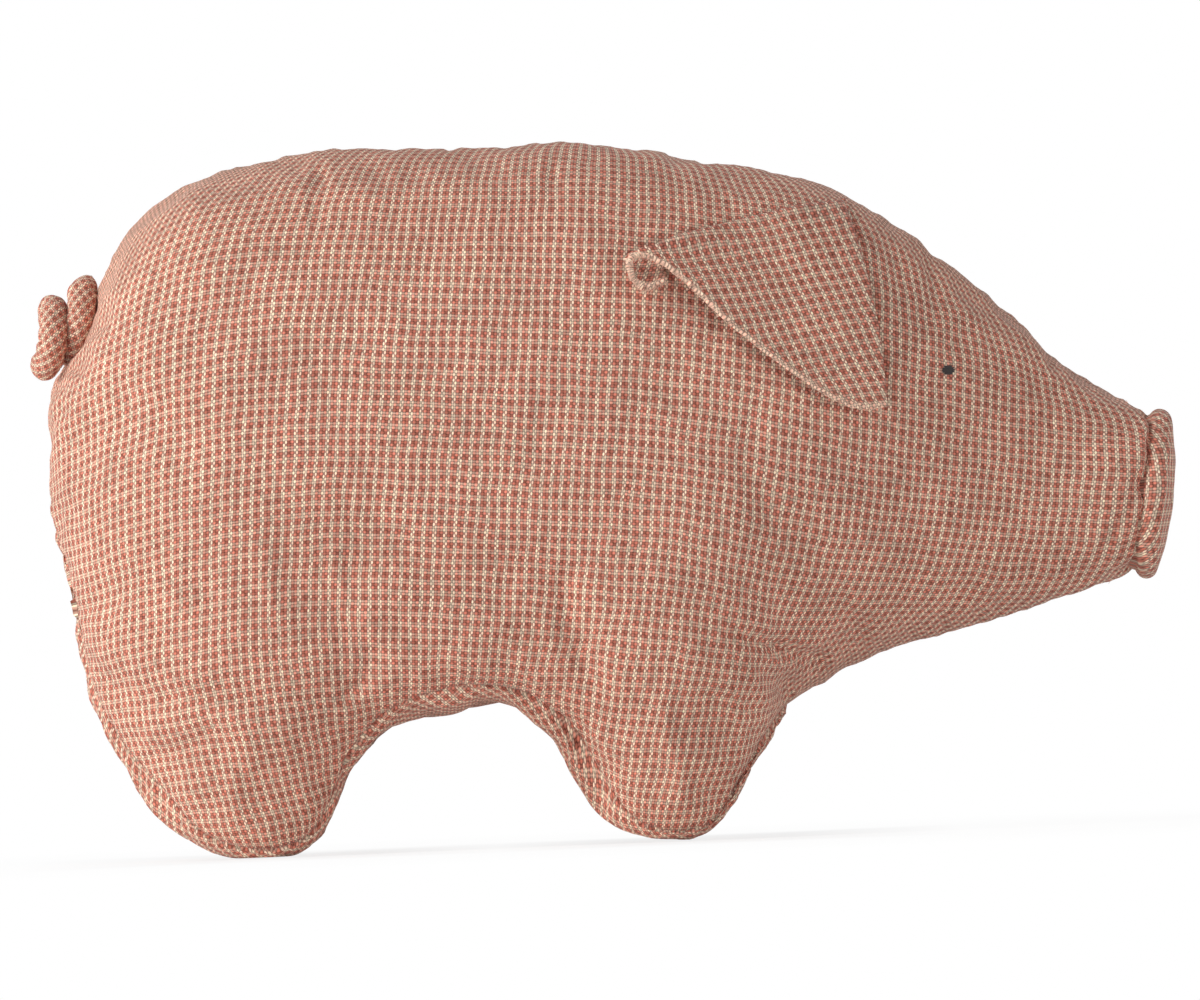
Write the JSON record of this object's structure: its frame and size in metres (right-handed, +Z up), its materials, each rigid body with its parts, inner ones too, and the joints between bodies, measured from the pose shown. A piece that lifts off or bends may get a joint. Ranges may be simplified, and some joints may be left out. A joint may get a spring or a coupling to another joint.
{
  "type": "stuffed toy pig",
  "caption": "Stuffed toy pig of checked cloth, standing on stub legs, with folded floppy ears, a padded disc snout and a corkscrew tail.",
  "frame": {"origin": "on the ground, under the middle of the toy's box", "axes": "+X towards the snout, +Z up, the toy's right side towards -Y"},
  "size_m": [0.3992, 0.146, 0.245],
  "materials": {
    "cloth": "matt woven check, brick red and cream",
    "filling": "matt fibre",
    "thread": "dark embroidery thread"
  },
  "bodies": {
    "root": {"right_side_panel": "cloth", "left_side_panel": "cloth", "belly_gusset": "cloth", "snout_cover": "cloth", "ear_right_strip": "cloth", "ear_left_strip": "cloth", "torso_stuffing": "filling", "head_stuffing": "filling", "hind_leg_stuffing_right": "filling", "hind_leg_stuffing_left": "filling", "front_leg_stuffing_right": "filling", "front_leg_stuffing_left": "filling", "snout_wadding": "filling", "eye_right": "thread", "eye_left": "thread", "nostril_right": "thread", "nostril_left": "thread"},
    "ear_right": {"ear_right_outer": "cloth", "ear_right_lining": "cloth"},
    "ear_left": {"ear_left_outer": "cloth", "ear_left_lining": "cloth"},
    "tail": {"tail_tube": "cloth", "tail_filling": "filling"}
  },
  "joints": [
    {"name": "ear_right_flap", "type": "hinge", "parent": "root", "child": "ear_right", "pos_m": [0.0969, -0.04521, 0.18542], "axis": [-0.1195, 0.3707, 0.921], "range_deg": [0, 105]},
    {"name": "ear_left_flap", "type": "hinge", "parent": "root", "child": "ear_left", "pos_m": [0.0969, 0.04521, 0.18542], "axis": [0.1195, 0.3707, -0.921], "range_deg": [0, 105]},
    {"name": "tail_wag", "type": "hinge", "parent": "root", "child": "tail", "pos_m": [-0.17556, -0.00012, 0.20101], "axis": [0, 0, -1], "range_deg": [-8, 25], "stiffness_Nm_per_rad": 0.01}
  ]
}
